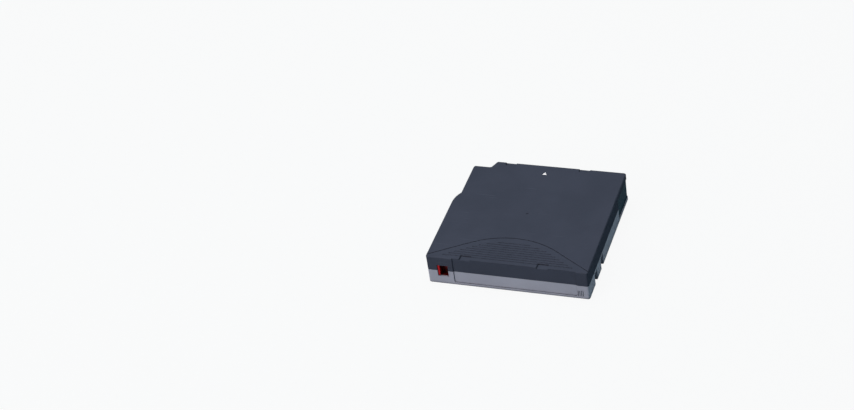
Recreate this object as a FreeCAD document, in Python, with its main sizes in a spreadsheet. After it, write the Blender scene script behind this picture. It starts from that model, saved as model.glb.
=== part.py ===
import FreeCAD, Part
import Sketcher
import math
import os
import re

# A half-inch data tape cartridge: two moulded half shells round one reel of tape.
# Frame: origin under the middle of the cartridge, X across, Y from the label end (-Y) to the
# end that enters the drive (+Y), Z up. Millimetres.

doc = FreeCAD.newDocument("data_tape_cartridge")
sheet = doc.addObject("Spreadsheet::Sheet", "Sizes")

sizes = {
    # case
    "case_w": (105.4, "width over the side walls"),
    "case_d": (102.0, "depth from label end to drive end"),
    "seam_z": (10.75, "height of the joint between the two shells"),
    "wall": (2.0, "side walls of the shells"),
    "floor_t": (1.9, "bottom plate"),
    "roof_t": (1.8, "top plate"),
    "corner_r": (1.5, "upright corners of the outline"),
    "edge_c": (0.5, "chamfer round the top plate"),
    "foot_r": (0.9, "rounding round the bottom plate"),
    "head_room": (2.1, "space between the upper flange and the top plate"),
    # stepped left side and set-back left front
    "step_in": (3.3, "how far the front part of the left side is set in"),
    "step_start": (5.0, "where the left side starts to curve in, from the middle"),
    "step_run": (10.5, "length of that curve along the side"),
    "nose_set": (6.5, "how far the left part of the front is set back"),
    "nose_foot": (15.0, "length of the set-back edge from the left side to the ramp foot"),
    "ramp_run": (2.7, "sideways run of the ramp"),
    # grip field on top
    "grip_r": (52.0, "radius of the arc in front of the grip field"),
    "grip_apex": (26.0, "distance of that arc from the label end"),
    "grip_half": (28.0, "half width over which the arc is round"),
    "grip_groove": (0.5, "width of the outline groove"),
    "grip_deep": (0.35, "depth of the outline groove and of the gate mark"),
    "rib_count": (9, "raised ribs in the grip field"),
    "rib_pitch": (2.1, "distance between the ribs"),
    "rib_wide": (0.9, "width of the valley in front of each rib"),
    "rib_deep": (0.25, "depth of the valleys"),
    "rib_first": (20.6, "distance of the first valley from the label end"),
    "rib_margin": (4.2, "distance from the arc to the ends of the ribs"),
    # stacking pockets in the top plate
    "pocket_w": (7.2, "width of each stacking pocket"),
    "pocket_deep": (0.9, "depth of the pockets into the top plate"),
    "front_pocket": (3.0, "length of the front pockets"),
    "rear_pocket": (4.5, "length of the rear pockets"),
    "front_pocket_x": (25.0, "front pockets, from the middle"),
    "rear_pocket_x": (25.2, "rear pockets, from their own middle"),
    "rear_pocket_off": (-1.8, "that middle, from the middle of the case"),
    "gate_r": (0.75, "moulding gate mark in the middle of the top plate"),
    # label end
    "label_left": (17.3, "left edge of the label recess, from the left side"),
    "label_right": (7.8, "right edge of the label recess, from the right side"),
    "label_low": (2.25, "bottom edge of the label recess"),
    "label_deep": (0.5, "depth of the label recess"),
    "label_r": (1.0, "lower corners of the label recess"),
    "comb_count": (4, "short upright grooves right of the label"),
    "comb_pitch": (1.05, "distance between them"),
    "comb_wide": (0.45, "width of each"),
    "comb_deep": (0.3, "depth of each"),
    "comb_low": (2.3, "their lower end"),
    "comb_tall": (4.4, "their length"),
    "comb_edge": (3.8, "distance of the last one from the right side"),
    # write protect window and slider
    "lock_left": (6.7, "left edge of the window, from the left side"),
    "lock_wide": (7.2, "width of the window"),
    "lock_low": (6.2, "lower edge of the window"),
    "lock_tall": (8.7, "height of the window"),
    "lug_wide": (1.5, "thumb lug of the slider"),
    "lug_sink": (0.4, "how far the lug stays below the label end"),
    "slider_sink": (0.9, "how far the slider runs inside the end wall"),
    "slider_t": (4.5, "thickness of the slider"),
    "thumb_deep": (3.8, "thumb hollow in the slider"),
    "slider_tail": (4.3, "plate left of the lug"),
    "slider_nose": (1.4, "plate right of the window"),
    "slide_fit": (0.1, "clearance of the pieces that slide"),
    # gripping notches along the sides
    "notch_deep": (2.6, "depth of the side notches"),
    "notch_wide": (5.7, "length of each notch along the side"),
    "notch_skin": (1.2, "wall behind a notch"),
    "notch_rear": (14.1, "rear notch, from the label end to its near edge"),
    "notch_next": (29.3, "next notch on the right side, from the label end"),
    "notch_rear_tall": (8.9, "height of the rear notch"),
    "notch_next_tall": (9.3, "height of the next notch"),
    # door
    "door_t": (1.4, "door plate"),
    "door_skin": (0.5, "side wall outside the door"),
    "door_len": (25.1, "door plate along the side"),
    "door_lip": (3.5, "return of the door round the front corner"),
    "door_edge": (0.8, "front end of the door behind the front of the case"),
    "door_open": (22.0, "how far the door slides"),
    "door_lap": (1.0, "how far the closed door reaches behind the side wall"),
    "groove_deep": (0.8, "door groove in the floor and in the top plate"),
    "door_spring_r": (0.8, "mean radius of the door spring"),
    "door_wire": (0.3, "wire of the door spring"),
    "door_turns": (8, "turns of the door spring"),
    "door_seat": (1.2, "thickness of the two spring seats"),
    # screws
    "boss_r": (3.1, "screw bosses"),
    "boss_in": (9.4, "boss centres from the left and right sides"),
    "boss_rear": (14.6, "rear boss centres from the label end"),
    "boss_left_front": (11.5, "left front boss, from the drive end"),
    "boss_right_in": (18.6, "right front boss, from the right side"),
    "boss_right_front": (8.6, "right front boss, from the drive end"),
    "screw_r": (1.15, "screw shank"),
    "screw_len": (12.5, "screw shank length under the head"),
    "head_r": (2.15, "screw head"),
    "head_t": (1.5, "screw head height"),
    "head_sink": (0.9, "screw head below the bottom plate"),
    "screw_fit": (0.15, "clearance round shank and head"),
    # locating holes
    "locate_r": (1.6, "locating holes in the bottom plate"),
    "locate_slot": (1.0, "extra length of the oblong one"),
    "locate_in": (25.7, "locating holes from the sides"),
    "locate_front": (6.8, "locating holes from the drive end"),
    "locate_deep": (5.0, "depth of the locating holes"),
    # reel
    "reel_gap": (0.7, "space between the flanges and the walls"),
    "flange_z": (2.8, "underside of the lower flange"),
    "flange_t": (1.0, "flange thickness"),
    "tape_w": (12.65, "width of the tape"),
    "tape_play": (0.15, "spare room for the tape between the flanges"),
    "pack_edge": (1.45, "flange beyond the wound tape"),
    "hub_r": (22.0, "winding radius of the hub"),
    "hub_wall": (2.0, "wall of the hub"),
    "spigot_len": (1.5, "collar of the upper flange inside the hub"),
    "spigot_t": (1.3, "thickness of that collar"),
    "hub_z": (2.3, "underside of the hub floor"),
    "hub_floor": (2.0, "thickness of the hub floor"),
    "port_r": (18.0, "drive opening in the bottom plate"),
    "port_rim": (2.0, "width of the rim that carries the reel"),
    "port_edge": (0.3, "chamfer of that rim round the drive opening"),
    "rest_gap": (0.05, "flat faces that lie on each other"),
    "gear_in": (13.4, "inner radius of the drive gear"),
    "gear_wide": (3.9, "width of the drive gear ring"),
    "gear_tall": (1.0, "height of the drive gear teeth"),
    "gear_teeth": (60, "teeth of the drive gear"),
    "gear_half": (0.42, "half width of a drive tooth at its root"),
    "gear_tip": (0.16, "half width of a drive tooth at its tip"),
    "plate_in": (4.0, "hole of the steel clutch plate"),
    "plate_r": (12.8, "radius of the clutch plate"),
    "plate_t": (0.75, "thickness of the clutch plate"),
    # reel lock
    "lock_teeth": (36, "teeth of the reel lock"),
    "tooth_tall": (1.1, "height of the lock teeth"),
    "tooth_half": (0.95, "half width of a lock tooth at its root"),
    "tooth_tip": (0.45, "half width of a lock tooth at its tip"),
    "tooth_wide": (1.5, "length of a lock tooth along the radius"),
    "tooth_gap": (0.15, "space over and under the engaged teeth"),
    "brake_lift": (1.8, "how far the drive lifts the brake button"),
    "brake_t": (1.6, "disc of the brake button"),
    "post_r": (5.6, "post of the brake button"),
    "key_t": (1.4, "crossed ribs that keep the brake button from turning"),
    "key_wide": (8.0, "width of the crossed ribs"),
    "key_fit": (0.15, "clearance of the crossed ribs in the post"),
    "key_gap": (1.0, "post below the top plate when it is lifted"),
    "spring_r": (7.1, "mean radius of the brake spring"),
    "spring_wire": (0.8, "wire of the brake spring"),
    "spring_turns": (4, "turns of the brake spring"),
    "leg_wide": (4.0, "legs of the release pad"),
    "leg_fit": (0.2, "clearance round each leg"),
    "leg_short": (0.2, "leg ends above the tips of the drive gear"),
    "arm_t": (1.2, "arms of the release pad"),
    "pad_hub": (7.0, "middle of the release pad"),
    "pad_boss": (2.6, "knob that bears on the brake button"),
    # leader pin
    "pin_x": (8.7, "leader pin from the right side"),
    "pin_y": (11.5, "leader pin from the drive end"),
    "pin_r": (1.3, "leader pin"),
    "pin_head_r": (2.8, "end flanges of the leader pin"),
    "pin_head_t": (0.6, "thickness of those flanges"),
    "pin_fit": (0.2, "clearance of the pin in its cradle and in the window"),
    "cradle_t": (1.0, "wall of the pin cradles"),
    "clip_t": (0.6, "wall of the clip on the pin"),
    "clip_gap": (75.0, "opening angle of the clip on each side of the tape"),
    "leaf_t": (0.3, "leaf spring that holds the pin"),
    "leaf_arm": (1.3, "height of each arm of the leaf spring"),
    "leader_t": (0.15, "leader tape"),
    # memory chip
    "board_w": (17.0, "memory board along the label end"),
    "board_d": (8.5, "memory board up its slope"),
    "board_t": (0.6, "memory board"),
    "board_rise": (7.2, "height of the sloped ribs under the board"),
    "board_slip": (0.8, "board below the upper end of the slope"),
    "board_in": (4.6, "memory board from the right inner wall"),
    "board_rib": (1.2, "ribs that carry the memory board"),
    "chip_w": (3.0, "chip on the board"),
    "chip_t": (0.7, "height of the chip"),
}

for row, (alias, (amount, note)) in enumerate(sizes.items(), 1):
    sheet.set(f"A{row}", note)
    sheet.set(f"B{row}", str(amount))
    sheet.setAlias(f"B{row}", alias)
doc.recompute()

# Sizes and places that follow from the sheet.
derived = {
    "half_w": "case_w / 2",
    "half_d": "case_d / 2",
    "step_r": "(step_in ^ 2 + step_run ^ 2) / (2 * step_in)",
    "wall_x": "half_w - wall",
    "wall_y": "half_d - wall",
    "step_inner": "step_start + sqrt((step_r - wall) ^ 2 - (step_r - wall - step_in) ^ 2)",
    "step_far": "sqrt((wall_x - step_in) ^ 2 + step_inner ^ 2)",
    "reel_r": "min(wall_x; wall_y; step_far) - reel_gap",
    "pack_r": "reel_r - pack_edge",
    "hub_bore": "hub_r - hub_wall",
    "tape_low": "flange_z + flange_t",
    "tape_high": "tape_low + tape_w + tape_play",
    "reel_top": "tape_high + flange_t",
    "roof_z": "reel_top + head_room",
    "case_h": "roof_z + roof_t",
    "deck_z": "hub_z + hub_floor",
    "gear_root": "hub_z + gear_tall",
    "gear_out": "gear_in + gear_wide",
    "rim_r": "port_r + port_rim",
    "brake_r": "hub_bore - 2 * leg_fit",
    "tooth_out": "brake_r - slide_fit",
    "tooth_in": "tooth_out - tooth_wide",
    "brake_tip": "deck_z + tooth_gap",
    "brake_root": "brake_tip + tooth_tall",
    "pad_z": "deck_z + slide_fit",
    "pad_top": "pad_z + arm_t",
    "brake_under": "pad_top + 2 * leg_fit",
    "brake_top": "brake_under + brake_t",
    "post_top": "roof_z - brake_lift - key_gap",
    "key_low": "brake_top + brake_lift + 2 * key_fit",
    "pin_low": "tape_low - pin_head_t",
    "pin_high": "tape_high + pin_head_t",
    "window_low": "pin_low - pin_fit",
    "window_high": "pin_high + pin_fit",
    "pin_at_x": "half_w - pin_x",
    "pin_at_y": "half_d - pin_y",
    "pin_far": "sqrt(pin_at_x ^ 2 + pin_at_y ^ 2)",
    "leader_r": "pack_r + slide_fit + leader_t / 2",
    "door_out": "half_w - door_skin - slide_fit",
    "door_in": "door_out - door_t",
    "door_front": "half_d - door_edge",
    "door_rear": "door_front - door_len",
    "window_rear": "door_rear + door_lap",
    "lip_x": "door_out - door_lip",
    "door_low": "floor_t - groove_deep + slide_fit",
    "door_high": "roof_z + groove_deep - slide_fit",
    "slot_rear": "door_rear - door_open - slide_fit",
    "door_spring_z": "(reel_top + roof_z) / 2",
    "door_spring_x": "door_in - door_spring_r - door_wire",
    "seat_front": "wall_y - slide_fit - door_seat",
    "seat_rear": "slot_rear + door_seat",
    "lock_x": "lock_left - half_w",
    "lock_end": "lock_x + lock_wide",
    "lug_y": "lug_sink - half_d",
    "slider_y": "slide_fit - wall_y - slider_sink",
    "slider_back": "slider_y + slider_t",
    "slider_z": "floor_t + slide_fit",
    "slider_top": "lock_low + lock_tall + wall / 2",
    "lock_travel": "lock_wide - lug_wide - 2 * slide_fit",
    "slider_left": "lock_x - slider_tail",
    "slider_right": "lock_end + slider_nose",
    "board_x": "wall_x - board_in - board_w",
    "grip_y": "grip_apex - grip_r - half_d",
}


def bound(text):
    """The expression with each size by its full name and each derived size written out."""
    def full(match):
        word = match.group(0)
        if word in derived:
            return f"({bound(derived[word])})"
        return f"Sizes.{word}" if word in sizes else word
    return re.sub(r"[a-z][a-z_]*[a-z]", full, str(text))


def value(text):
    return float(sheet.evalExpression(bound(text)))


# ---- sketches -----------------------------------------------------------------------------

def origin(body, role):
    return [feature for feature in body.Origin.OriginFeatures if feature.Role == role][0]


def box(x_low, x_high, y_low, y_high):
    return [(x_low, y_low), (x_high, y_low), (x_high, y_high), (x_low, y_high)]


def cross(half_wide, half_thick):
    """The outline of two crossed ribs round the middle."""
    wide, thick = f"({half_wide})", f"({half_thick})"
    quarter = [(wide, thick), (thick, thick), (thick, wide)]
    turned = [(f"-{y}", x) for x, y in quarter]
    return quarter + turned + [(f"-{x}", f"-{y}") for x, y in quarter] + [
        (y, f"-{x}") for x, y in quarter]


def arc_between(start, end, radius, turn):
    """The short arc from start to end; turn is 1 for a left turn and -1 for a right turn."""
    across = end - start
    rise = math.sqrt(max(radius ** 2 - across.Length ** 2 / 4, 0))
    left = FreeCAD.Vector(-across.y, across.x, 0).normalize()
    centre = start + across / 2 + left * rise * turn
    ends = (start, end) if turn > 0 else (end, start)
    low, high = [math.atan2(p.y - centre.y, p.x - centre.x) for p in ends]
    circle = Part.Circle(centre, FreeCAD.Vector(0, 0, 1), radius)
    return Part.ArcOfCircle(circle, low, high if high > low else high + 2 * math.pi)


def draw(drawing, loop):
    """Adds a closed loop whose corners are (x, y), or (x, y, radius, turn) after an arc.

    A circle is written ("circle", x, y, radius).
    """
    ties = []
    if loop[0] == "circle":
        x, y, radius = loop[1:]
        spot = FreeCAD.Vector(value(x), value(y), 0)
        n = drawing.addGeometry(Part.Circle(spot, FreeCAD.Vector(0, 0, 1), value(radius)))
        ties = [("DistanceX", (-1, 1, n, 3), x), ("DistanceY", (-1, 1, n, 3), y),
                ("Radius", (n,), radius)]
    else:
        ends = []
        for here, there in zip(loop, loop[1:] + loop[:1]):
            start, end = [FreeCAD.Vector(value(p[0]), value(p[1]), 0) for p in (here, there)]
            if len(there) == 2:
                n = drawing.addGeometry(Part.LineSegment(start, end))
                ends.append((n, 1, 2))
            else:
                radius, turn = there[2:]
                n = drawing.addGeometry(arc_between(start, end, value(radius), turn))
                ends.append((n, 1, 2) if turn > 0 else (n, 2, 1))
                ties.append(("Radius", (n,), radius))
            ties += [("DistanceX", (-1, 1, n, ends[-1][1]), here[0]),
                     ("DistanceY", (-1, 1, n, ends[-1][1]), here[1])]
        for (n, _, last), (m, first, _) in zip(ends, ends[1:] + ends[:1]):
            drawing.addConstraint(Sketcher.Constraint("Coincident", n, last, m, first))
    for kind, where, text in ties:
        index = drawing.addConstraint(Sketcher.Constraint(kind, *where, value(text)))
        drawing.setExpression(f"Constraints[{index}]", bound(text))


def sketch(body, name, role, height, *loops):
    """A sketch on one of the body's own planes, moved by height along the plane's normal."""
    drawing = body.newObject("Sketcher::SketchObject", name + "Sketch")
    drawing.AttachmentSupport = [(origin(body, role), "")]
    drawing.MapMode = "FlatFace"
    drawing.setExpression("AttachmentOffset.Base.z", bound(height))
    for loop in loops:
        draw(drawing, loop)
    return drawing


# ---- features -----------------------------------------------------------------------------

pieces = []


def new_piece(name):
    body = doc.addObject("PartDesign::Body", name)
    body.Label = name
    pieces.append(body)
    return body


def add(body, name, height, length, *loops, plane="XY_Plane", down=False):
    feature = body.newObject("PartDesign::Pad", name)
    feature.Profile = sketch(body, name, plane, height, *loops)
    feature.setExpression("Length", bound(length))
    feature.Reversed = down
    return feature


def cut(body, name, height, depth, *loops, plane="XY_Plane", up=False):
    feature = body.newObject("PartDesign::Pocket", name)
    feature.Profile = sketch(body, name, plane, height, *loops)
    feature.setExpression("Length", bound(depth))
    feature.Reversed = up
    return feature


def turn(body, name, *loops):
    """A turned form about the upright axis; the loops give radius and height."""
    feature = body.newObject("PartDesign::Revolution", name)
    feature.Profile = sketch(body, name, "XZ_Plane", "0", *loops)
    feature.ReferenceAxis = (origin(body, "Z_Axis"), [""])
    feature.Angle = 360
    return feature


def ring_of(body, name, feature, count):
    pattern = body.newObject("PartDesign::PolarPattern", name)
    pattern.Originals = [feature]
    pattern.Axis = (origin(body, "Z_Axis"), [""])
    pattern.Angle = 360
    pattern.setExpression("Occurrences", bound(count))
    body.Tip = pattern
    return pattern


def dress(body, kind, name, base, edges, size):
    """A fillet or chamfer on the base's edges that pass the test."""
    doc.recompute()
    names = [f"Edge{n}" for n, edge in enumerate(base.Shape.Edges, 1) if edges(edge)]
    feature = body.newObject(f"PartDesign::{kind}", name)
    feature.Base = (base, names)
    feature.setExpression("Radius" if kind == "Fillet" else "Size", bound(size))
    return feature


def lies_at(height):
    return lambda edge: all(abs(v.Z - value(height)) < 1e-6 for v in edge.Vertexes)


def is_corner(edge):
    """An upright edge of the case's outline, apart from the one where the curve runs out."""
    ends = edge.Vertexes
    if len(ends) < 2 or abs(ends[0].Z - ends[1].Z) < 1:
        return False
    smooth = abs(ends[0].Y - value("step_start")) < 1e-6
    return not smooth


def is_port_edge(edge):
    """The inner upper edge of the rim round the drive opening."""
    round_edge = abs(edge.Length - 2 * math.pi * value("port_r")) < 1e-3
    return round_edge and edge.Vertexes[0].Z > value("floor_t")


# ---- the two shells -----------------------------------------------------------------------

beyond = "wall"      # cuts that leave through a face run this much past it


def case_outline():
    return [
        ("-half_w", "-half_d"), ("half_w", "-half_d"), ("half_w", "half_d"),
        ("nose_foot + ramp_run - half_w", "half_d"),
        ("nose_foot - half_w", "half_d - nose_set"),
        ("step_in - half_w", "half_d - nose_set"),
        ("step_in - half_w", "step_start + step_run"),
        ("-half_w", "step_start", "step_r", 1),
    ]


def cavity_outline():
    return [
        ("-wall_x", "-wall_y"), ("wall_x", "-wall_y"), ("wall_x", "wall_y"),
        ("nose_foot + ramp_run - wall_x", "wall_y"),
        ("nose_foot - wall_x", "wall_y - nose_set"),
        ("step_in - wall_x", "wall_y - nose_set"),
        ("step_in - wall_x", "step_inner"), ("-wall_x", "step_start", "step_r - wall", 1),
    ]


screw_places = [
    ("boss_in - half_w", "boss_rear - half_d"),
    ("half_w - boss_in", "boss_rear - half_d"),
    ("boss_in - half_w", "half_d - boss_left_front"),
    ("half_w - boss_right_in", "half_d - boss_right_front"),
]


def round_each(places, radius):
    return [("circle", x, y, radius) for x, y in places]


def door_slot():
    return box("door_in - slide_fit", "door_out + slide_fit", "slot_rear", "door_front + slide_fit")


def window_outline():
    """The tape window in the right side, and its return through the front wall."""
    inner_y = "wall_y - slide_fit"
    return [
        ("door_in", "window_rear"), (f"half_w + {beyond}", "window_rear"),
        (f"half_w + {beyond}", f"half_d + {beyond}"), ("lip_x - slide_fit", f"half_d + {beyond}"),
        ("lip_x - slide_fit", inner_y), ("door_in", inner_y),
    ]


def cut_label_end(body):
    """The write protect window and the label recess, which both shells share."""
    start = f"half_d + {beyond}"
    cut(body, "LockWindow", start, f"wall + {beyond}",
        box("lock_x", "lock_end", "lock_low", "lock_low + lock_tall"), plane="XZ_Plane")
    left, right = "label_left - half_w", "half_w - label_right"
    high, bend = f"case_h + {beyond}", "label_low + label_r"
    cut(body, "LabelRecess", start, f"label_deep + {beyond}", [
        (right, high), (left, high), (left, bend), (f"{left} + label_r", "label_low", "label_r", 1),
        (f"{right} - label_r", "label_low"), (right, bend, "label_r", 1)], plane="XZ_Plane")


def cut_slider_channel(body, start, depth, up):
    cut(body, "SliderChannel", start, depth,
        box("-wall_x", "slider_right + lock_travel + slide_fit", "slider_y - slide_fit", "-wall_y"),
        up=up)


def cradle_wall():
    """A wall round the inner side of the parked leader pin; it leaves on the open side."""
    inner = "(pin_head_r + pin_fit)"
    outer = f"({inner} + cradle_t)"
    end_x = "pin_at_x - pin_fit"
    far = [f"sqrt({r} ^ 2 - pin_fit ^ 2)" for r in (outer, inner)]
    return [
        (end_x, f"pin_at_y + {far[0]}"), (end_x, f"pin_at_y - {far[0]}", outer, 1),
        (end_x, f"pin_at_y - {far[1]}"), (end_x, f"pin_at_y + {far[1]}", inner, -1),
    ]


def cradle_foot():
    return ("circle", "pin_at_x", "pin_at_y", "pin_head_r + pin_fit + cradle_t")


def slider_guide():
    return box("-wall_x", "slider_right + lock_travel", "slider_back + slide_fit",
               "slider_back + slide_fit + wall / 2")


def bottom_shell():
    body = new_piece("bottom_shell")
    block = add(body, "Block", "0", "seam_z", case_outline())
    corners = dress(body, "Fillet", "Corners", block, is_corner, "corner_r")
    dress(body, "Fillet", "Foot", corners, lies_at("0"), "foot_r")
    cut(body, "Cavity", "seam_z", "seam_z - floor_t", cavity_outline())

    notches = [("notch_rear", "notch_rear_tall", 1), ("notch_next", "notch_next_tall", 1),
               ("notch_rear", "notch_rear_tall", -1)]
    for n, (start, tall, side) in enumerate(notches, 1):
        deep = ["half_w - notch_deep - notch_skin", "wall_x"]
        if side < 0:
            deep = ["-wall_x", "notch_deep + notch_skin - half_w"]
        add(body, f"NotchWall{n}", "0", f"{tall} + notch_skin",
            box(*deep, f"{start} - notch_skin - half_d",
                f"{start} + notch_wide + notch_skin - half_d"))
    for n, (start, tall, side) in enumerate(notches, 1):
        deep = ["half_w - notch_deep", f"half_w + {beyond}"]
        if side < 0:
            deep = [f"-half_w - {beyond}", "notch_deep - half_w"]
        cut(body, f"Notch{n}", "0", tall,
            box(*deep, f"{start} - half_d", f"{start} + notch_wide - half_d"), up=True)

    add(body, "ScrewBosses", "floor_t", "seam_z - floor_t", *round_each(screw_places, "boss_r"))
    cut(body, "HeadSinks", "0", "head_sink + head_t",
        *round_each(screw_places, "head_r + screw_fit"), up=True)
    cut(body, "ScrewHoles", "0", "seam_z", *round_each(screw_places, "screw_r + screw_fit"), up=True)

    places = [("locate_in - half_w", "half_d - locate_front"),
              ("half_w - locate_in", "half_d - locate_front")]
    add(body, "LocateBosses", "floor_t", "locate_deep + wall / 2 - floor_t",
        *round_each(places, "locate_r + locate_slot / 2 + wall / 2"))
    round_x, round_y = places[0]
    slot_x, slot_y = places[1]
    slot_out, slot_in = [f"{slot_x} {sign} locate_slot / 2" for sign in "+-"]
    low, high = f"{slot_y} - locate_r", f"{slot_y} + locate_r"
    cut(body, "LocateHoles", "0", "locate_deep", ("circle", round_x, round_y, "locate_r"), [
        (slot_in, low, "locate_r", 1), (slot_out, low),
        (f"{slot_out} + locate_r", slot_y, "locate_r", 1), (slot_out, high, "locate_r", 1),
        (slot_in, high), (f"{slot_in} - locate_r", slot_y, "locate_r", 1)], up=True)

    add(body, "PortRim", "floor_t", "hub_z - rest_gap - floor_t", ("circle", "0", "0", "rim_r"))
    port = cut(body, "Port", "0", "hub_z", ("circle", "0", "0", "port_r"), up=True)
    dress(body, "Chamfer", "PortEdge", port, is_port_edge, "port_edge")

    add(body, "PinFoot", "floor_t", "pin_low - rest_gap - floor_t", cradle_foot())
    add(body, "PinCradle", "floor_t", "tape_low - floor_t", cradle_wall())
    add(body, "SliderGuide", "floor_t", "lock_low / 2", slider_guide())
    for n, start in enumerate(["board_x + board_rib", "board_x + board_w - 2 * board_rib"], 1):
        add(body, f"BoardRib{n}", start, "board_rib", [
            ("-wall_y", "floor_t"), ("board_rise - wall_y", "floor_t"),
            ("-wall_y", "floor_t + board_rise")], plane="YZ_Plane")

    cut(body, "DoorSlot", "seam_z", "seam_z - door_low + slide_fit", door_slot())
    cut(body, "Window", "seam_z", "seam_z - window_low", window_outline())
    cut_slider_channel(body, "seam_z", "seam_z - floor_t", False)
    cut_label_end(body)
    comb = cut(body, "Comb", f"half_d + {beyond}", f"comb_deep + {beyond}",
               box("half_w - comb_edge - comb_wide", "half_w - comb_edge",
                   "comb_low", "comb_low + comb_tall"), plane="XZ_Plane")
    row = body.newObject("PartDesign::LinearPattern", "CombRow")
    row.Originals = [comb]
    row.Direction = (origin(body, "X_Axis"), [""])
    row.Reversed = True
    row.setExpression("Length", bound("comb_pitch * (comb_count - 1)"))
    row.setExpression("Occurrences", bound("comb_count"))
    body.Tip = row
    return body


def grip_outline():
    """A band along the arc in front of the grip field, which leaves straight to both sides."""
    steep = "(grip_half / sqrt(grip_r ^ 2 - grip_half ^ 2))"
    upright = "(sqrt(grip_r ^ 2 - grip_half ^ 2) / grip_r)"
    far_x = f"(half_w + {beyond})"
    near = "(grip_r - grip_groove)"
    bend = ("grip_half", f"(grip_y + grip_r * {upright})")
    inner = (f"({near} * grip_half / grip_r)", f"(grip_y + {near} * {upright})")
    end = f"({bend[1]} - {steep} * ({far_x} - grip_half))"
    inner_end = f"({end} - grip_groove / {upright})"
    return [
        (far_x, end), bend, (f"-{bend[0]}", bend[1], "grip_r", 1), (f"-{far_x}", end),
        (f"-{far_x}", inner_end), (f"-{inner[0]}", inner[1]), (*inner, near, -1),
        (far_x, inner_end),
    ]


def grip_valleys():
    """Straight valleys along the label end, each as long as the arc leaves room for."""
    near = "(grip_r - rib_margin)"
    steep = "(grip_half / sqrt(grip_r ^ 2 - grip_half ^ 2))"
    bend_x = f"({near} * grip_half / grip_r)"
    bend_y = f"(grip_y + {near} * sqrt(grip_r ^ 2 - grip_half ^ 2) / grip_r)"
    valleys = []
    for n in range(sizes["rib_count"][0]):
        high = f"(rib_first - {n} * rib_pitch - half_d)"
        reach = f"sqrt({near} ^ 2 - ({high} - grip_y) ^ 2)"
        if value(high) < value(bend_y):
            reach = f"({bend_x} + ({bend_y} - {high}) / {steep})"
        valleys.append(box(f"-{reach}", reach, f"{high} - rib_wide", high))
    return valleys


def top_shell():
    body = new_piece("top_shell")
    block = add(body, "Block", "seam_z", "case_h - seam_z", case_outline())
    corners = dress(body, "Fillet", "Corners", block, is_corner, "corner_r")
    dress(body, "Chamfer", "TopEdge", corners, lies_at("case_h"), "edge_c")
    cut(body, "Cavity", "seam_z", "roof_z - seam_z", cavity_outline(), up=True)

    add(body, "ScrewBosses", "seam_z", "roof_z - seam_z", *round_each(screw_places, "boss_r"))
    cut(body, "ScrewHoles", "seam_z", "head_sink + head_t + screw_len + wall / 4 - seam_z",
        *round_each(screw_places, "screw_r"), up=True)
    add(body, "BrakeKey", "key_low", "roof_z - key_low", cross("key_wide / 2", "key_t / 2"))
    add(body, "PinFoot", "pin_high + rest_gap", "roof_z - pin_high - rest_gap", cradle_foot())
    add(body, "PinCradle", "tape_high", "roof_z - tape_high", cradle_wall())
    add(body, "SliderGuide", "slider_top - wall / 2", "roof_z - slider_top + wall / 2",
        slider_guide())
    add(body, "SpringSeat", "reel_top + slide_fit", "roof_z - reel_top - slide_fit",
        box("lip_x", "door_in - slide_fit", "slot_rear", "seat_rear"))

    cut(body, "DoorSlot", "seam_z", "door_high + slide_fit - seam_z", door_slot(), up=True)
    cut(body, "Window", "seam_z", "window_high - seam_z", window_outline(), up=True)
    cut_slider_channel(body, "seam_z", "slider_top + slide_fit - seam_z", True)
    cut_label_end(body)

    cut(body, "GripOutline", "case_h", "grip_deep", grip_outline())
    cut(body, "GripValleys", "case_h", "rib_deep", *grip_valleys())
    pockets = []
    for side in "-+":
        x = f"{side}front_pocket_x"
        pockets.append(box(f"{x} - pocket_w / 2", f"{x} + pocket_w / 2",
                           "half_d - front_pocket", f"half_d + {beyond}"))
        x = f"rear_pocket_off {side} rear_pocket_x"
        pockets.append(box(f"{x} - pocket_w / 2", f"{x} + pocket_w / 2",
                           f"-half_d - {beyond}", "rear_pocket - half_d"))
    cut(body, "StackPockets", "case_h", "pocket_deep", *pockets)
    cut(body, "GateMark", "case_h", "grip_deep", ("circle", "0", "0", "gate_r"))
    return body


def screws():
    screw = doc.addObject("PartDesign::Body", "screw")
    turn(screw, "Screw", [
        ("0", "head_sink"), ("head_r", "head_sink"), ("head_r", "head_sink + head_t"),
        ("screw_r", "head_sink + head_t"), ("screw_r", "head_sink + head_t + screw_len"),
        ("0", "head_sink + head_t + screw_len")])
    group = doc.addObject("Part::Compound", "case_screws")
    group.Label = "case_screws"
    links = []
    for n, (x, y) in enumerate(screw_places, 1):
        link = doc.addObject("App::Link", f"Screw{n}")
        link.LinkedObject = screw
        link.setExpression("Placement.Base.x", bound(x))
        link.setExpression("Placement.Base.y", bound(y))
        links.append(link)
    group.Links = links
    pieces.append(group)
    return group


# ---- door and write protect slider --------------------------------------------------------

def door():
    body = new_piece("door")
    add(body, "Plate", "door_low", "door_high - door_low",
        box("door_in", "door_out", "door_rear", "door_front"))
    add(body, "Lip", "window_low + slide_fit", "window_high - window_low - 2 * slide_fit",
        box("lip_x", "door_in", "door_front - door_t", "door_front"))
    add(body, "SpringTab", "reel_top + slide_fit", "roof_z - reel_top - 2 * slide_fit",
        box("lip_x", "door_in", "seat_front", "seat_front + door_seat"))
    return body


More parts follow.
